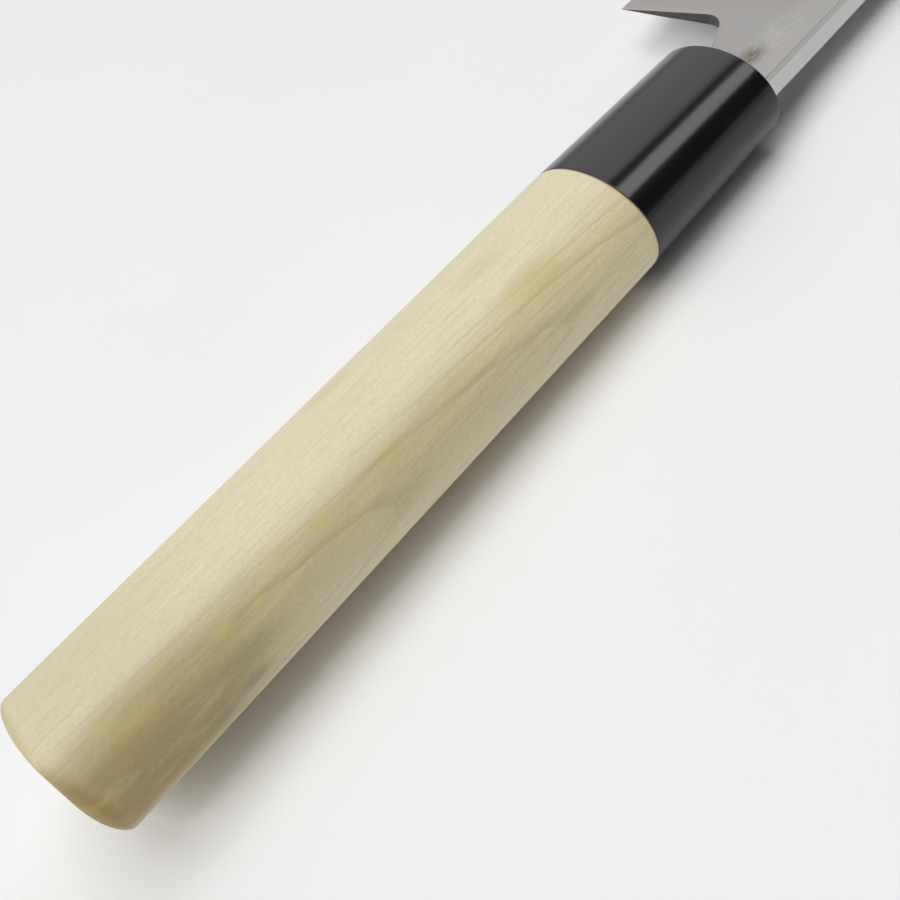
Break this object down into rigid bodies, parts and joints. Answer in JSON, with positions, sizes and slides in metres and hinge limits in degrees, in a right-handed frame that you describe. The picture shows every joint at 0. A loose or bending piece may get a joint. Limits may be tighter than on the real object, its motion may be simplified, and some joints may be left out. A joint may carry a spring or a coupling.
{
  "type": "usuba knife",
  "caption": "Single-bevel vegetable knife with a laminated square-tipped blade, a tang set in an oval wooden handle and a black ferrule over the handle's tenon.",
  "frame": {"origin": "middle of the flat of the butt end, on the handle's axis", "axes": "+X from the butt along the handle to the blade's tip, +Y towards the cutting edge, +Z out of the flat ura side of the blade"},
  "size_m": [0.3366, 0.0448, 0.0202],
  "materials": {
    "pale_wood": "unvarnished, sanded, straight grain with olive patches",
    "black_gloss": "polished black",
    "brown_resin": "set resin, satin",
    "soft_iron": "satin, brushed along the blade, hazy on the bevel",
    "hard_steel": "fine satin, stoned scratches on the rim"
  },
  "bodies": {
    "root": {"handle_wood": "pale_wood", "ferrule": "black_gloss", "mouth_seal": "brown_resin", "blade_iron": "soft_iron", "blade_steel": "hard_steel"}
  },
  "joints": []
}
